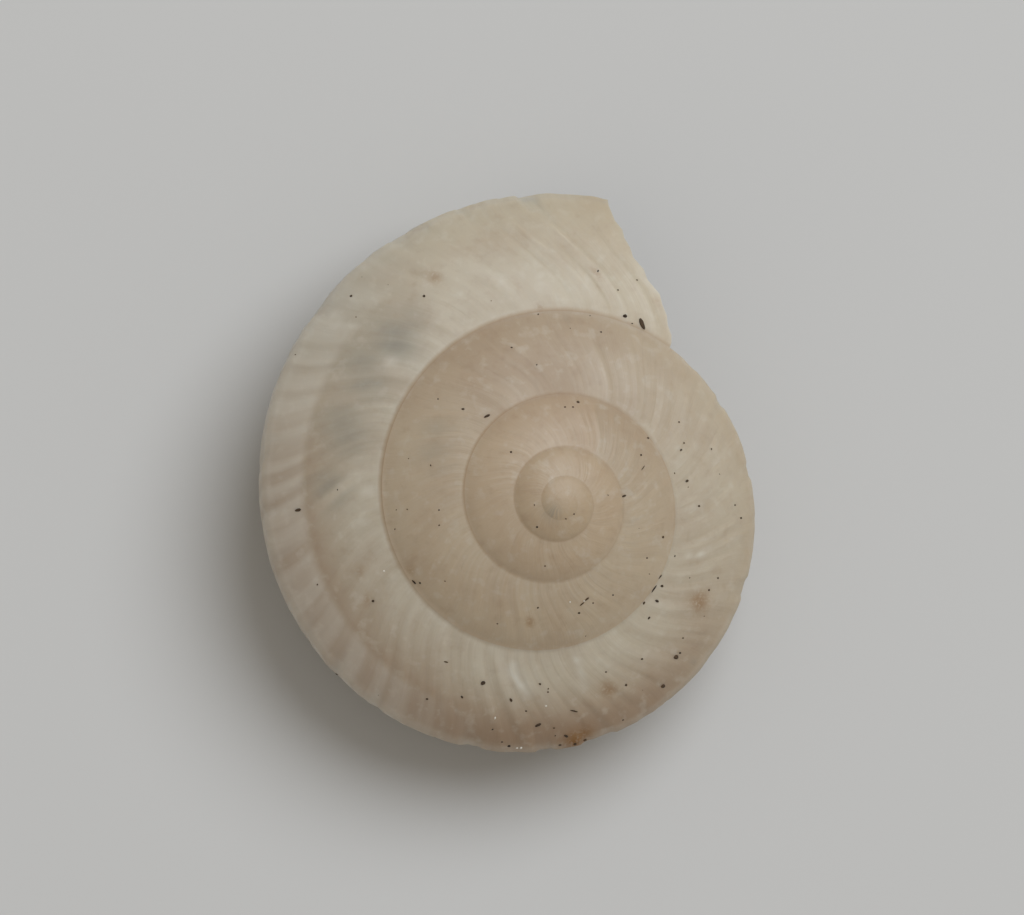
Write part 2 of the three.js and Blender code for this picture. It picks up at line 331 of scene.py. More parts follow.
# One sheet of growth lines. Rows count through the whole line, and a hollow sheet is set in by the wall
def makeSheetTree(pointTree, reliefTree):
    span = {"First Column": 0, "Columns": 2, "Stride": 0, "First Row": 0, "Rows": 2, "Shift": 0.0,
            "Hollow First": 0.0, "Hollow Last": 0.0}
    tree, given = newTree("growthSheet", {**span, **whorl, **relief, **fineness}, {"Sheet": "Geometry"})
    sizes = {name: given[name] for name in whorl}
    reliefSizes = {name: given[name] for name in relief}
    counts = {"Vertices X": given["Columns"], "Vertices Y": given["Rows"]}
    grid = addNode(tree, "GeometryNodeMeshGrid", counts)
    index = addNode(tree, "GeometryNodeInputIndex")
    column = addNode(tree, calc, (index, given["Rows"]), operation="DIVIDE")
    column = addNode(tree, calc, (column,), operation="FLOOR")
    line = addNode(tree, calc, (column, given["Rows"]), operation="MULTIPLY")
    line = addNode(tree, calc, (index, line), operation="SUBTRACT")
    line = addNode(tree, calc, (line, given["First Row"]), operation="ADD")

    # A hollow line starts and ends on the base of the whorl before
    columnsLess = addNode(tree, calc, (given["Columns"], 1.0), operation="SUBTRACT")
    along = addNode(tree, calc, (column, columnsLess), operation="DIVIDE")
    hollow = addNode(tree, "ShaderNodeMix", (along, (0, 0, 0), given["Hollow First"], given["Hollow Last"]))
    outlineRows = addNode(tree, calc, (given["Top Rows"], given["Base Rows"]), operation="ADD")
    lastLine = addNode(tree, calc, (outlineRows, 1.0), operation="ADD")
    atFirst = addNode(tree, calc, (line, 0.0, 0.5), operation="COMPARE")
    atFirst = addNode(tree, calc, (atFirst, hollow), operation="MULTIPLY")
    atLast = addNode(tree, calc, (line, lastLine, 0.5), operation="COMPARE")
    atLast = addNode(tree, calc, (atLast, hollow), operation="MULTIPLY")
    atEnds = addNode(tree, calc, (atFirst, atLast), operation="ADD")
    firstOn = addNode(tree, calc, (given["Top Rows"], 1.0), operation="ADD")
    line = addNode(tree, calc, (atFirst, firstOn, line), operation="MULTIPLY_ADD")
    line = addNode(tree, calc, (atLast, -2.0, line), operation="MULTIPLY_ADD")

    # Row and turn of this point
    topShare = addNode(tree, calc, (line, given["Top Rows"]), operation="DIVIDE", use_clamp=True)
    topRow = addNode(tree, calc, (topShare, given["Row Power"]), operation="POWER")
    pastTop = addNode(tree, calc, (line, given["Top Rows"]), operation="SUBTRACT")
    baseShare = addNode(tree, calc, (pastTop, given["Base Rows"]), operation="DIVIDE", use_clamp=True)
    navelRow = addNode(tree, calc, (line, outlineRows), operation="SUBTRACT", use_clamp=True)
    row = addNode(tree, calc, (baseShare, 2.0, topRow), operation="MULTIPLY_ADD")
    row = addNode(tree, calc, (row, navelRow), operation="ADD")
    overlap = addNode(tree, calc, (1.0, given["Lean At Keel"]), operation="SUBTRACT")
    turn = addNode(tree, calc, (column, given["Stride"], given["First Column"]), operation="MULTIPLY_ADD")
    turn = addNode(tree, calc, (turn, given["Steps"]), operation="DIVIDE")
    turn = addNode(tree, calc, (turn, given["Shift"]), operation="SUBTRACT")
    back = addNode(tree, calc, (atEnds, overlap), operation="MULTIPLY")
    turn = addNode(tree, calc, (turn, back), operation="SUBTRACT")

    # The outline's direction here, from a little before and after
    points = []
    for nudge in (0.0, -0.002, 0.002):
        nudged = addNode(tree, calc, (row, nudge), operation="ADD")
        place = {"Turn": turn, "Row": nudged, **sizes}
        points.append(addNode(tree, "GeometryNodeGroup", place, node_tree=pointTree).outputs)
    here, before, after = points
    acrossRadius = addNode(tree, calc, (after["Radius"], before["Radius"]), operation="SUBTRACT")
    acrossHeight = addNode(tree, calc, (after["Height"], before["Height"]), operation="SUBTRACT")
    direction = addNode(tree, "ShaderNodeCombineXYZ", (acrossRadius, acrossHeight))
    direction = addNode(tree, "ShaderNodeVectorMath", (direction,), operation="NORMALIZE")
    direction = addNode(tree, "ShaderNodeSeparateXYZ", (direction,)).outputs

    # Out by the raised work, or in by the wall
    raisedWork = addNode(tree, "GeometryNodeGroup", {"Turn": turn, "Row": row, **sizes, **reliefSizes},
                         node_tree=reliefTree)
    sizeHere = addNode(tree, calc, (here["Keel Radius"], given["Lip Radius"]), operation="DIVIDE")
    outward = addNode(tree, calc, (raisedWork, sizeHere), operation="MULTIPLY")
    thinFrom = addNode(tree, calc, (given["Turns"], 0.3), operation="SUBTRACT")
    thinning = (turn, thinFrom, given["Turns"], 1.0, given["Lip Thinness"])
    thinned = addNode(tree, "ShaderNodeMapRange", thinning)
    setIn = addNode(tree, calc, (here["Keel Radius"], given["Wall"]), operation="MULTIPLY")
    setIn = addNode(tree, calc, (setIn, thinned), operation="MULTIPLY")
    setIn = addNode(tree, calc, (0.0, setIn), operation="SUBTRACT")
    onWall = addNode(tree, calc, (hollow, atEnds), operation="SUBTRACT")
    proud = addNode(tree, "ShaderNodeMix", (onWall, (0, 0, 0), outward, setIn))
    radial = addNode(tree, calc, (proud, direction["Y"]), operation="MULTIPLY")
    radius = addNode(tree, calc, (here["Radius"], radial), operation="SUBTRACT")
    height = addNode(tree, calc, (proud, direction["X"], here["Height"]), operation="MULTIPLY_ADD")
    turned = addNode(tree, calc, (given["Turns"], here["At"]), operation="SUBTRACT")
    bearing = addNode(tree, calc, (turned, 2 * math.pi, given["Lip Bearing"]), operation="MULTIPLY_ADD")
    cosine = addNode(tree, calc, (bearing,), operation="COSINE")
    sine = addNode(tree, calc, (bearing,), operation="SINE")
    x = addNode(tree, calc, (radius, cosine), operation="MULTIPLY")
    y = addNode(tree, calc, (radius, sine), operation="MULTIPLY")
    position = addNode(tree, "ShaderNodeCombineXYZ", (x, y, height))
    mesh = addNode(tree, "GeometryNodeSetPosition", {"Geometry": grid, "Position": position})

    # Kept on the corners of faces, so that both sides of a suture have their own values
    for name, field in (("growth", turn), ("across", row), ("hollow", onWall)):
        onPoints = addNode(tree, "GeometryNodeFieldOnDomain", (field,), data_type="FLOAT", domain="POINT")
        stored = {"Geometry": mesh, "Name": name, "Value": onPoints}
        mesh = addNode(tree, "GeometryNodeStoreNamedAttribute", stored, data_type="FLOAT", domain="CORNER")
    addNode(tree, "NodeGroupOutput", {"Sheet": mesh})
    return tree


# All sheets, welded along the sutures, laid down and brought to metres
def makeShellTree(sheetTree, material):
    inputs = {"Weld": 1e-4, **whorl, **relief, **fineness}
    tree, given = newTree("snailShell", inputs, {"Shell": "Geometry"})
    sizes = {name: given[name] for name in {**whorl, **relief, **fineness}}
    steps, topRows, baseRows = fineness["Steps"], fineness["Top Rows"], fineness["Base Rows"]
    last = round(whorl["Turns"] * steps)
    overlap = round((1 - whorl["Lean At Keel"]) * steps)
    hollowSteps = round(pose["hollowTurns"] * steps)
    navelSteps = round(pose["navelTurns"] * steps)
    tipSteps = round(pose["tipTurns"] * steps)
    stride = pose["hollowStride"]
    hollowStart = last - hollowSteps
    hollowColumns = {"First Column": hollowStart, "Columns": hollowSteps // stride + 1, "Stride": stride}
    wholeLine = {"First Row": 0, "Rows": topRows + baseRows + 2}
    spans = {
        "spire": {"First Column": -tipSteps, "Columns": last + tipSteps + 1, "Stride": 1,
                  "Rows": topRows + 1},
        "base": {"First Column": last - overlap, "Columns": overlap + 1, "Stride": 1,
                 "First Row": topRows, "Rows": baseRows + 1},
        "navel": {"First Column": last - navelSteps, "Columns": navelSteps + 1, "Stride": 1,
                  "First Row": topRows + baseRows, "Rows": 2},
        "innerSide": {**hollowColumns, "First Row": topRows + 1, "Rows": baseRows - 1,
                      "Shift": 1 - whorl["Lean At Keel"]},
        "hollow": {**hollowColumns, **wholeLine, "Hollow First": 1.0, "Hollow Last": 1.0},
        "rim": {"First Column": last, **wholeLine, "Hollow Last": 1.0},
    }
    joined = addNode(tree, "GeometryNodeJoinGeometry")
    for name, span in spans.items():
        sheet = addNode(tree, "GeometryNodeGroup", {**sizes, **span}, node_tree=sheetTree, label=name)
        if name == "hollow":
            sheet = addNode(tree, "GeometryNodeFlipFaces", (sheet,))
        tree.links.new(sheet.outputs[0], joined.inputs[0])
    welded = addNode(tree, "GeometryNodeMergeByDistance", {"Geometry": joined, "Distance": given["Weld"]})
    lay = {"Translation": pose["origin"], "Rotation": restTurn.to_euler(), "Scale": (mm, mm, mm)}
    laid = addNode(tree, "GeometryNodeTransform", {"Geometry": welded, **lay})
    whole = addNode(tree, "GeometryNodeRealizeInstances", (laid,))
    finished = addNode(tree, "GeometryNodeSetMaterial", {"Geometry": whole, "Material": material})
    addNode(tree, "NodeGroupOutput", {"Shell": finished})
    return tree


# Runs a tree on a bare object and gives back a plain mesh
def meshFromTree(name, tree, values, points=None):
    carrier = bpy.data.objects.new(name, points or bpy.data.meshes.new(name))
    scene.collection.objects.link(carrier)
    modifier = carrier.modifiers.new(name, "NODES")
    modifier.node_group = tree
    for item in tree.interface.items_tree:
        if item.in_out == "INPUT" and item.name in values:
            modifier[item.identifier] = values[item.name]
    bpy.context.view_layer.update()
    evaluated = carrier.evaluated_get(bpy.context.evaluated_depsgraph_get())
    mesh = bpy.data.meshes.new_from_object(evaluated)
    mesh.name = name
    bpy.data.objects.remove(carrier)
    return mesh


# Closes the tip, the top of the navel and the inner end of the hollow, each with a fan
def closeEnds(mesh):
    work = bmesh.new()
    work.from_mesh(mesh)
    openEdges = [edge for edge in work.edges if edge.is_boundary]
    filled = bmesh.ops.holes_fill(work, edges=openEdges, sides=0)["faces"]
    middles = bmesh.ops.poke(work, faces=filled)["verts"]
    tip = max(middles, key=lambda vertex: vertex.co.z)
    tip.co.z += pose["tipRise"]
    across = work.loops.layers.float["across"]
    for vertex in middles:
        for face in vertex.link_faces:
            for corner in face.loops:
                corner[across] = 0.5
    bmesh.ops.recalc_face_normals(work, faces=work.faces)
    for face in work.faces:
        face.smooth = True
    openLeft = sum(not edge.is_manifold for edge in work.edges)
    work.to_mesh(mesh)
    work.free()
    mesh.set_sharp_from_angle(angle=math.radians(55))
    print("shell mesh:", len(mesh.polygons), "faces,", len(filled), "ends closed,", openLeft, "open edges")


# The photograph's frame, and how the shell is turned to it
photo = {
    "width": 1024,
    "height": 915,
    "pixel": 0.01751 * mm,  # one photograph pixel on the shell
    "tipX": 566.0,  # pixel under the cone's tip
    "tipY": 501.9,
    "tilt": math.radians(12.6),
    "bearing": math.radians(5.4),
    "distance": 400 * mm,
    "middleDepth": 1.8 * mm,  # plane that has the scale above, below the tip
    "sensor": 36.0,
}
viewAxis = Vector((-math.sin(photo["bearing"]), math.cos(photo["bearing"]), 0))
viewTurn = Matrix.Rotation(photo["tilt"], 4, viewAxis)
cameraTurn = (restTurn @ viewTurn.inverted()).to_3x3()
coneTip = restTurn @ Vector((0, 0, whorl["Spire Slope"] * whorl["Tip Rounding"] * mm)) + pose["origin"]


# A pixel of the photograph as a point on the plane of the photograph's scale, seen from the camera
def onPhotoPlane(x, y):
    across = (x - photo["width"] / 2) * photo["pixel"]
    up = (photo["height"] / 2 - y) * photo["pixel"]
    return Vector((across, up, -photo["distance"]))


tipOffset = onPhotoPlane(photo["tipX"], photo["tipY"])
tipOffset.z += photo["middleDepth"]
cameraPlace = coneTip - cameraTurn @ tipOffset

shellMaterial = bpy.data.materials.new("weatheredShellLime")
pointTree = makePointTree(makeKeelTree(), makeQuarterTree())
sheetTree = makeSheetTree(pointTree, makeReliefTree())
shellTree = makeShellTree(sheetTree, shellMaterial)
shellMesh = meshFromTree("snailShell", shellTree, {**whorl, **relief, **fineness})
closeEnds(shellMesh)
shell = bpy.data.objects.new("snailShell", shellMesh)
scene.collection.objects.link(shell)
bpy.context.view_layer.update()


# Where the photograph's pixel falls on the shell, with the way the surface faces there
def onShell(x, y):
    ray = (cameraTurn @ onPhotoPlane(x, y)).normalized()
    found, place, facing, _ = shell.ray_cast(cameraPlace, ray)
    return (place, facing) if found else None


# Marks that lie on the shell, by photograph pixel with radius in mm and strength
marks = {
    "stain": [  # rusty soil stains
        (575, 741, 0.22, 1.0), (584, 734, 0.18, 0.8), (699, 602, 0.18, 0.7), (608, 689, 0.14, 0.6),
        (434, 277, 0.14, 0.5), (530, 622, 0.08, 0.6), (366, 601, 0.1, 0.3), (361, 571, 0.1, 0.3),
        (540, 308, 0.06, 0.4), (597, 271, 0.09, 0.5), (657, 304, 0.08, 0.3), (411, 571, 0.1, 0.3),
    ],
    "thin": [  # grey patches where the wall is thin and shows the dark behind it
        (366, 374, 0.38, 1.0), (396, 341, 0.4, 0.9), (345, 430, 0.42, 0.8), (331, 491, 0.32, 0.9),
        (434, 454, 0.35, 0.4), (350, 440, 0.35, 0.5), (693, 665, 0.09, 1.0), (569, 318, 0.1, 0.6),
        (412, 320, 0.3, 0.5), (437, 427, 0.3, 0.3), (552, 512, 0.16, 0.6),
    ],
    "scar": [  # white scars where the skin has flaked
        (512, 668, 0.1, 0.8), (515, 677, 0.1, 0.8), (521, 685, 0.1, 0.8), (528, 690, 0.08, 0.7),
        (577, 660, 0.07, 0.6), (580, 670, 0.07, 0.6), (583, 682, 0.08, 0.5), (700, 554, 0.06, 0.7),
        (690, 556, 0.06, 0.6), (335, 315, 0.14, 0.5), (391, 362, 0.12, 0.5), (368, 492, 0.1, 0.5),
    ],
}


# Softly bounded marks, kept as one value for each vertex
def paintMarks():
    places = np.empty(len(shellMesh.vertices) * 3, np.float32)
    shellMesh.vertices.foreach_get("co", places)
    places = places.reshape(-1, 3)
    for name, spots in marks.items():
        strength = np.zeros(len(places), np.float32)
        for x, y, radius, amount in spots:
            place, _ = onShell(x, y)
            apart = np.linalg.norm(places - np.array(place), axis=1) / (radius * mm)
            strength = np.maximum(strength, amount * np.exp(-apart ** 2))
        shellMesh.attributes.new(name, "FLOAT", "POINT").data.foreach_set("value", strength)


paintMarks()
print("shell marks painted")

# Weathered shell lime: aragonite that has lost its skin, ivory to buff, with light soaking into it and
# a worn waxy gloss. White lime shows at the sutures and on the ribs, horn brown between them
# Some layers below are painted shade and painted light by side, not only the shell's own colour
shellLook = {
    "hatchling": "#b8a488",
    "older": "#c1ae94",
    "newest": "#c1b6a1",
    "pale": "#d8d3c6",
    "brown": "#94765a",
    "tan": "#b8a588",
    "grey": "#8a877b",
    "dirt": "#a07d52",
    "stain": "#8a5f22",
    "broadStreaks": 26.0,  # in a turn
    "fineStreaks": 160.0,
    "hairLines": 480.0,
    "mottle": 0.9,  # mm
    "flecks": 0.22,  # mm
    "grit": 0.05,  # mm
    "strialDepth": 0.01 * mm,
    "gloss": (0.38, 0.55),  # roughness, worn to dull
    "ior": 1.53,  # aragonite
    "waxiness": 0.6,  # share of the light that soaks in
    "waxTint": (1.0, 0.85, 0.7),
    "waxDepth": 0.4 * mm,
}


def finishShellMaterial():
    tree = shellMaterial.node_tree
    tree.nodes.clear()
    smooth = {"interpolation_type": "SMOOTHSTEP"}
    ranged = "ShaderNodeMapRange"
    values = {}
    for name in ("growth", "across", *marks):
        values[name] = addNode(tree, "ShaderNodeAttribute", attribute_name=name).outputs["Fac"]
    growth, across = values["growth"], values["across"]
    place = addNode(tree, "ShaderNodeTexCoord").outputs["Object"]

    # The waves that raise the surface, and streaks that wander along the growth lines
    waves = {}
    for name in ("Ribs", "Folds", "Knobs"):
        ring = (growth, relief[name + " Per Turn"], relief["Seed"])
        ring = addNode(tree, calc, ring, operation="MULTIPLY_ADD")
        ring = addNode(tree, calc, (across, relief["Rib Slant"], ring), operation="MULTIPLY_ADD")
        wave = {"W": ring, "Scale": 1.0, "Detail": 1.0}
        waves[name] = addNode(tree, "ShaderNodeTexNoise", wave, noise_dimensions="1D")
    for name, along in (("broadStreaks", 1.2), ("fineStreaks", 1.6), ("hairLines", 2.5)):
        ring = addNode(tree, calc, (growth, shellLook[name]), operation="MULTIPLY")
        wander = addNode(tree, calc, (across, along), operation="MULTIPLY")
        ringPlace = addNode(tree, "ShaderNodeCombineXYZ", (ring, wander))
        wave = {"Vector": ringPlace, "Scale": 1.0, "Detail": 2.0}
        waves[name] = addNode(tree, "ShaderNodeTexNoise", wave, noise_dimensions="2D")
    for name in ("mottle", "flecks", "grit"):
        wave = {"Vector": place, "Scale": 1 / (shellLook[name] * mm), "Detail": 3.0}
        waves[name] = addNode(tree, "ShaderNodeTexNoise", wave)

    # Sides of the shell, as seen from above, mm from the middle; some layers use them to paint shade and
    # light by side
    sides = {}
    for name, way, start, end in (("lowLeft", (-0.5, -0.85, 0), -1.5, 3.5), ("left", (-1, -0.1, 0), 0.5, 3.5),
                                  ("right", (1, 0.3, 0), 1.0, 4.0), ("upLeft", (-0.8, 0.6, 0), -3.0, 2.0),
                                  ("up", (0.3, 1, 0), -0.5, 2.0)):
        towards = [share / mm for share in way]
        side = addNode(tree, "ShaderNodeVectorMath", (place, towards), operation="DOT_PRODUCT")
        sides[name] = addNode(tree, ranged, (side.outputs["Value"], start, end), **smooth)

    # Each layer of colour is laid on by the product of its shares
    nearSuture = addNode(tree, ranged, (across, 0.02, 0.45, 1.0, 0.0), **smooth)
    nearKeel = addNode(tree, ranged, (across, 0.15, 0.8), **smooth)
    ribbed = addNode(tree, ranged, (across, 0.75, 0.3, 0.0, 1.0), **smooth)
    lastTurn = addNode(tree, ranged, (growth, 3.6, 3.9), **smooth)
    bandRow = relief["Shoulder Row"]
    onBand = addNode(tree, ranged, (across, bandRow - 0.04, bandRow + 0.06), **smooth)
    onRim = addNode(tree, ranged, (across, 0.86, 0.98), **smooth)
    aboveBase = addNode(tree, ranged, (across, 1.5, 1.1), **smooth)
    layers = (
        ("older", addNode(tree, ranged, (growth, 1.0, 3.0), **smooth)),
        ("newest", addNode(tree, ranged, (growth, 3.2, 4.2), **smooth)),
        # painted shade: the upper side of the inner whorls is darkened by side
        ("brown", sides["up"], addNode(tree, ranged, (growth, 3.9, 3.6), **smooth), 0.4),
        # partly painted shade, darker on the left and upper left of the last turn, partly the greyer thin
        # wall there
        ("grey", sides["left"], lastTurn, aboveBase, 0.15),
        ("grey", sides["left"], sides["up"], lastTurn, aboveBase, 0.35),
        # painted shade: the lower-left side of the last turn is darkened towards the keel
        ("brown", sides["lowLeft"], nearKeel, aboveBase, lastTurn, 0.75),
        ("pale", onRim, aboveBase, lastTurn, 0.3),
        ("brown", addNode(tree, ranged, (waves["mottle"], 0.45, 0.7)), 0.18),
        ("brown", addNode(tree, ranged, (waves["flecks"], 0.45, 0.25)), 0.2),
        ("pale", addNode(tree, ranged, (waves["flecks"], 0.55, 0.72)), 0.22),
        ("brown", addNode(tree, ranged, (waves["broadStreaks"], 0.45, 0.8)), 0.1),
        ("tan", sides["right"], addNode(tree, ranged, (across, 0.65, 0.95), **smooth), lastTurn, 0.4),
        ("tan", addNode(tree, ranged, (growth, 4.6, 4.75), **smooth), 0.12),
        # partly painted light, lighter just outside the sutures on the lower left, partly white lime there
        ("pale", nearSuture, sides["lowLeft"],
         addNode(tree, ranged, (waves["fineStreaks"], 0.3, 0.65)), 0.14),
        ("pale", ribbed, addNode(tree, ranged, (waves["Folds"], 0.4, 0.75)), lastTurn, 0.12),
        ("pale", ribbed, addNode(tree, ranged, (waves["Ribs"], 0.5, 0.75)), 0.05),
        ("pale", onBand, aboveBase, lastTurn, sides["left"], 0.28),
        ("pale", onBand, aboveBase, lastTurn, sides["left"],
         addNode(tree, ranged, (waves["Knobs"], 0.35, 0.6)), 0.32),
        ("brown", addNode(tree, ranged, (waves["hairLines"], 0.5, 0.8)), 0.05),
        ("dirt", addNode(tree, ranged, (across, 0.0, 0.03, 1.0, 0.0)), sides["upLeft"], 0.6),
        ("grey", values["thin"], addNode(tree, ranged, (waves["Folds"], 0.8, 0.4)), 0.85),
        ("pale", values["scar"]),
        ("stain", values["stain"], addNode(tree, ranged, (waves["grit"], 0.25, 0.5))),
    )
    colour = linearColour(shellLook["hatchling"])
    for name, share, *others in layers:
        for other in others:
            share = addNode(tree, calc, (share, other), operation="MULTIPLY")
        laid = {0: share, 6: colour, 7: linearColour(shellLook[name])}
        colour = addNode(tree, "ShaderNodeMix", laid, data_type="RGBA").outputs[2]

    gloss = addNode(tree, ranged, (waves["mottle"], 0.3, 0.7, *shellLook["gloss"]))
    surface = addNode(tree, calc, (waves["hairLines"], waves["fineStreaks"]), operation="ADD")
    surface = addNode(tree, calc, (waves["grit"], 0.4, surface), operation="MULTIPLY_ADD")
    bumped = {"Strength": 0.2, "Distance": shellLook["strialDepth"], "Height": surface}
    bump = addNode(tree, "ShaderNodeBump", bumped)
    skin = addNode(tree, "ShaderNodeBsdfPrincipled", {
        "Base Color": colour, "Roughness": gloss, "IOR": shellLook["ior"], "Normal": bump,
        "Subsurface Weight": shellLook["waxiness"], "Subsurface Radius": shellLook["waxTint"],
        "Subsurface Scale": shellLook["waxDepth"]})
    addNode(tree, "ShaderNodeOutputMaterial", {"Surface": skin})


shellMaterial.use_nodes = True
finishShellMaterial()
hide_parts("shell")
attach(shell, "root")
print("shell finished")

# Soil caught on the shell, by photograph pixel with length and width in mm and the way it lies in degrees
soil = {
    "grains": [
        (642, 324, 0.22, 0.09, 110), (625, 316, 0.08, 0.07, 0), (601, 332, 0.04, 0.03, 0),
        (598, 271, 0.05, 0.03, 60), (647, 277, 0.04, 0.03, 0), (637, 280, 0.04, 0.03, 0),
        (618, 290, 0.04, 0.03, 0), (298, 510, 0.12, 0.06, 10), (676, 657, 0.10, 0.09, 0),
        (680, 653, 0.05, 0.04, 0), (663, 686, 0.09, 0.08, 0), (574, 711, 0.15, 0.03, -15),
        (487, 416, 0.12, 0.05, 25), (587, 599, 0.09, 0.04, 40), (582, 604, 0.10, 0.03, 40),
        (579, 613, 0.05, 0.04, 0), (593, 603, 0.03, 0.03, 0), (613, 595, 0.04, 0.03, 0),
        (660, 577, 0.10, 0.03, 50), (654, 589, 0.16, 0.03, 55), (662, 586, 0.06, 0.05, 0),
        (657, 601, 0.08, 0.05, -20), (644, 603, 0.06, 0.04, 60), (649, 618, 0.06, 0.04, 50),
        (647, 558, 0.04, 0.03, 0), (663, 537, 0.05, 0.05, 0), (687, 481, 0.07, 0.05, 30),
        (699, 506, 0.05, 0.04, 0), (718, 578, 0.04, 0.04, 0), (709, 590, 0.04, 0.04, 0),
        (683, 638, 0.04, 0.03, 0), (642, 659, 0.05, 0.04, 0), (578, 402, 0.06, 0.05, 0),
        (573, 407, 0.04, 0.03, 0), (565, 407, 0.04, 0.03, 0), (624, 496, 0.09, 0.04, 20),
        (643, 468, 0.12, 0.02, 50), (641, 455, 0.04, 0.04, 0), (648, 438, 0.05, 0.04, 0),
        (681, 450, 0.05, 0.04, 40), (684, 443, 0.04, 0.03, 0), (679, 422, 0.04, 0.03, 0),
        (414, 582, 0.10, 0.04, -45), (420, 583, 0.04, 0.04, 0), (337, 674, 0.06, 0.05, 0),
        (373, 601, 0.05, 0.05, 0), (351, 296, 0.05, 0.05, 0), (424, 296, 0.05, 0.05, 0),
        (446, 662, 0.08, 0.03, -15), (483, 683, 0.09, 0.08, 30), (462, 697, 0.06, 0.04, -50),
        (427, 699, 0.05, 0.04, 0), (511, 700, 0.08, 0.05, -60), (540, 684, 0.05, 0.04, -30),
        (548, 692, 0.04, 0.03, 0), (538, 725, 0.12, 0.06, 30), (554, 728, 0.04, 0.03, 0),
        (566, 736, 0.09, 0.05, -35), (585, 740, 0.07, 0.06, 0), (575, 744, 0.06, 0.06, 0),
        (560, 745, 0.06, 0.04, 0), (509, 746, 0.06, 0.05, 0), (502, 742, 0.04, 0.03, 0),
        (623, 720, 0.04, 0.03, 0), (616, 733, 0.04, 0.04, 0), (626, 685, 0.05, 0.05, 0),
        (606, 672, 0.04, 0.03, 0), (574, 514, 0.03, 0.03, 0), (537, 527, 0.04, 0.04, 0),
        (545, 566, 0.03, 0.03, 0), (511, 452, 0.04, 0.04, 0), (439, 510, 0.03, 0.03, 0),
        (438, 399, 0.03, 0.03, 0), (463, 409, 0.06, 0.04, 0), (735, 505, 0.04, 0.03, 0),
        (741, 518, 0.05, 0.04, 0),
    ],
    "crumbs": [  # white lime
        (546, 706, 0.04, 0.03, 0), (521, 748, 0.06, 0.04, 70), (517, 748, 0.04, 0.03, 0),
        (495, 718, 0.05, 0.03, 80), (584, 601, 0.03, 0.03, 0), (570, 602, 0.03, 0.03, 0),
        (384, 571, 0.04, 0.03, 0),
    ],
    "flatness": 0.6,
    "dust": 110,  # finer specks over the whole outside
    "dustSize": (0.012, 0.03),  # mm
    "dustStretch": 1.4,
    "tintRun": 0.12 * mm,  # over which the colour changes
    "seed": 11,
}


# Points with the way each faces, its size and its turn about that, for the grains to be set on
def grainPoints(name, spots, dust):
    rows = []
    for x, y, length, width, angle in spots:
        found = onShell(x, y)
        if found is None:
            print("no shell under", x, y)
            continue
        size = (length / 2, width / 2, width / 2 * soil["flatness"])
        rows.append((*found, size, math.radians(angle)))
    chance = np.random.RandomState(soil["seed"])
    hollow = shellMesh.attributes["hollow"].data
    outside = [face for face in shellMesh.polygons if hollow[face.loop_start].value < 0.5]
    areas = np.array([face.area for face in outside])
    for pick in chance.choice(len(outside), dust, p=areas / areas.sum()):
        half = chance.uniform(*soil["dustSize"]) / 2
        size = (half * soil["dustStretch"], half, half * soil["flatness"])
        face = outside[pick]
        rows.append((face.center.copy(), face.normal.copy(), size, chance.uniform(0, math.pi)))
    mesh = bpy.data.meshes.new(name)
    mesh.from_pydata([row[0] for row in rows], [], [])
    kinds = (("facing", "FLOAT_VECTOR", "vector"), ("size", "FLOAT_VECTOR", "vector"),
             ("spin", "FLOAT", "value"))
    for column, (label, kind, field) in enumerate(kinds, 1):
        numbers = np.array([row[column] for row in rows], np.float32).ravel()
        mesh.attributes.new(label, kind, "POINT").data.foreach_set(field, numbers)
    return mesh


# A lumpy grain on every point
def makeGrainTree(name, material):
    tree, given = newTree(name, {"Points": "Geometry", "Lumpiness": 0.9}, {"Grains": "Geometry"})
    read = "GeometryNodeInputNamedAttribute"
    facing = addNode(tree, read, {"Name": "facing"}, data_type="FLOAT_VECTOR")
    size = addNode(tree, read, {"Name": "size"}, data_type="FLOAT_VECTOR")
    spin = addNode(tree, read, {"Name": "spin"}, data_type="FLOAT")
    ball = addNode(tree, "GeometryNodeMeshIcoSphere", {"Radius": 1.0, "Subdivisions": 2})
    lumps = addNode(tree, "ShaderNodeTexNoise", {"Scale": 1.1, "Detail": 2.0}).outputs["Color"]
    lumps = addNode(tree, "ShaderNodeVectorMath", (lumps, (0.5, 0.5, 0.5)), operation="SUBTRACT")
    lumps = addNode(tree, "ShaderNodeVectorMath", {0: lumps, "Scale": given["Lumpiness"]}, operation="SCALE")
    grain = addNode(tree, "GeometryNodeSetPosition", {"Geometry": ball, "Offset": lumps})
    inMetres = addNode(tree, "ShaderNodeVectorMath", {0: size, "Scale": mm}, operation="SCALE")
    upright = addNode(tree, "FunctionNodeAlignRotationToVector", {"Vector": facing}, axis="Z")
    about = addNode(tree, "ShaderNodeCombineXYZ", {"Z": spin})
    turned = addNode(tree, "FunctionNodeRotateRotation", (upright, about), rotation_space="LOCAL")
    placed = {"Points": given["Points"], "Instance": grain, "Rotation": turned, "Scale": inMetres}
    grains = addNode(tree, "GeometryNodeInstanceOnPoints", placed)
    whole = addNode(tree, "GeometryNodeRealizeInstances", (grains,))
    finished = addNode(tree, "GeometryNodeSetMaterial", {"Geometry": whole, "Material": material})
    addNode(tree, "NodeGroupOutput", {"Grains": finished})
    return tree


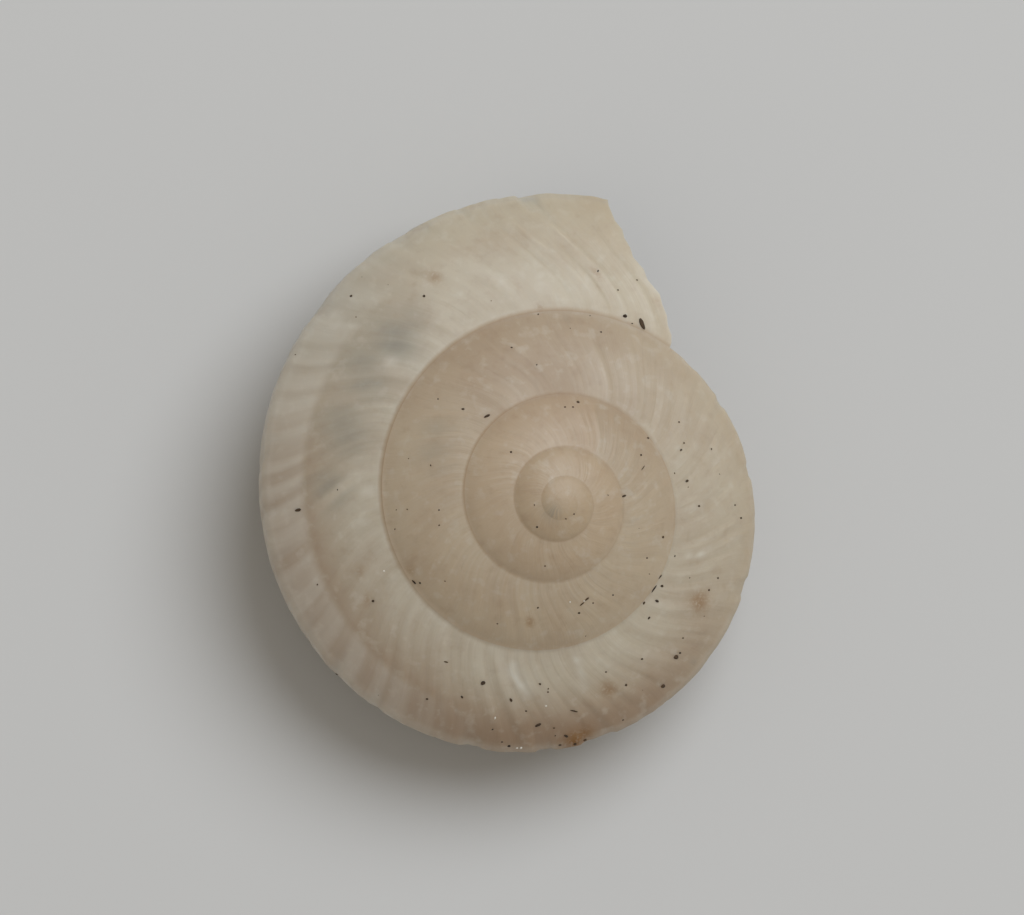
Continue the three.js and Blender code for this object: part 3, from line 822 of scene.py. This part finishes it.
# Dried soil and crumbs of shell lime: dull and crumbly, each grain a little different
def makeGrains(name, materialName, dark, light, spots, dust):
    material = bpy.data.materials.new(materialName)
    material.use_nodes = True
    tree = material.node_tree
    tree.nodes.clear()
    place = addNode(tree, "ShaderNodeTexCoord").outputs["Object"]
    wave = addNode(tree, "ShaderNodeTexNoise", {"Vector": place, "Scale": 1 / soil["tintRun"], "Detail": 3.0})
    share = addNode(tree, "ShaderNodeMapRange", (wave, 0.35, 0.7))
    tint = {0: share, 6: linearColour(dark), 7: linearColour(light)}
    colour = addNode(tree, "ShaderNodeMix", tint, data_type="RGBA").outputs[2]
    rough = addNode(tree, "ShaderNodeMapRange", (wave, 0.3, 0.7, 0.8, 0.95))
    crust = addNode(tree, "ShaderNodeBsdfPrincipled", {"Base Color": colour, "Roughness": rough})
    addNode(tree, "ShaderNodeOutputMaterial", {"Surface": crust})
    mesh = meshFromTree(name, makeGrainTree(name, material), {}, grainPoints(name + "Points", spots, dust))
    piece = bpy.data.objects.new(name, mesh)
    scene.collection.objects.link(piece)
    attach(piece, "root")
    print(name, len(mesh.polygons), "faces")


makeGrains("soilGrains", "driedSoil", "#2a2019", "#5b4833", soil["grains"], soil["dust"])
makeGrains("limeCrumbs", "crumbledLime", "#d9d5ca", "#efede6", soil["crumbs"], 0)

# Plain pale floor, soft light from the upper right and a fill all round
stage = {
    "floor": "#cfcfcd",
    "floorSize": 400 * mm,
    "floorGrain": 6 * mm,
    "keyBearing": math.radians(49),
    "keyHeight": math.radians(57),
    "keyDistance": 300 * mm,
    "keySize": 260 * mm,
    "keyPower": 0.6,
    "keyColour": (0.9, 0.94, 1.0),
    "fill": 0.36,
    "fillColour": (1.0, 0.94, 0.86, 1.0),
}


def makeStage():
    floorMaterial = bpy.data.materials.new("matteCard")
    floorMaterial.use_nodes = True
    tree = floorMaterial.node_tree
    tree.nodes.clear()
    place = addNode(tree, "ShaderNodeTexCoord").outputs["Object"]
    unevenness = {"Vector": place, "Scale": 1 / stage["floorGrain"], "Detail": 2.0}
    fleck = addNode(tree, "ShaderNodeTexNoise", unevenness)
    rough = addNode(tree, "ShaderNodeMapRange", (fleck, 0.3, 0.7, 0.75, 0.85))
    paint = {"Base Color": linearColour(stage["floor"]), "Roughness": rough}
    card = addNode(tree, "ShaderNodeBsdfPrincipled", paint)
    addNode(tree, "ShaderNodeOutputMaterial", {"Surface": card})
    half = stage["floorSize"] / 2
    corners = [(-half, -half, 0), (half, -half, 0), (half, half, 0), (-half, half, 0)]
    mesh = bpy.data.meshes.new("floor")
    mesh.from_pydata(corners, [], [(0, 1, 2, 3)])
    mesh.materials.append(floorMaterial)
    floor = bpy.data.objects.new("floor", mesh)
    scene.collection.objects.link(floor)

    flat = math.cos(stage["keyHeight"])
    towards = Vector((flat * math.cos(stage["keyBearing"]), flat * math.sin(stage["keyBearing"]),
                      math.sin(stage["keyHeight"])))
    key = bpy.data.lights.new("softKey", "AREA")
    key.shape = "DISK"
    key.size = stage["keySize"]
    key.energy = stage["keyPower"]
    key.color = stage["keyColour"]
    keyLamp = bpy.data.objects.new("softKey", key)
    aim = towards.to_track_quat("Z", "Y").to_matrix().to_4x4()
    keyLamp.matrix_world = Matrix.Translation(towards * stage["keyDistance"]) @ aim
    scene.collection.objects.link(keyLamp)
    world = bpy.data.worlds.new("studioFill")
    world.use_nodes = True
    background = world.node_tree.nodes["Background"].inputs
    background["Color"].default_value = stage["fillColour"]
    background["Strength"].default_value = stage["fill"]
    scene.world = world


def makeCamera():
    data = bpy.data.cameras.new("photoCamera")
    data.sensor_width = photo["sensor"]
    data.lens = photo["sensor"] * photo["distance"] / (photo["width"] * photo["pixel"])
    data.clip_start = 1 * mm
    data.clip_end = 2.0
    camera = bpy.data.objects.new("photoCamera", data)
    camera.matrix_world = Matrix.Translation(cameraPlace) @ cameraTurn.to_4x4()
    scene.collection.objects.link(camera)
    scene.camera = camera


makeStage()
makeCamera()
scene.view_settings.view_transform = "Standard"
print("stage and camera set")

bpy.context.view_layer.update()
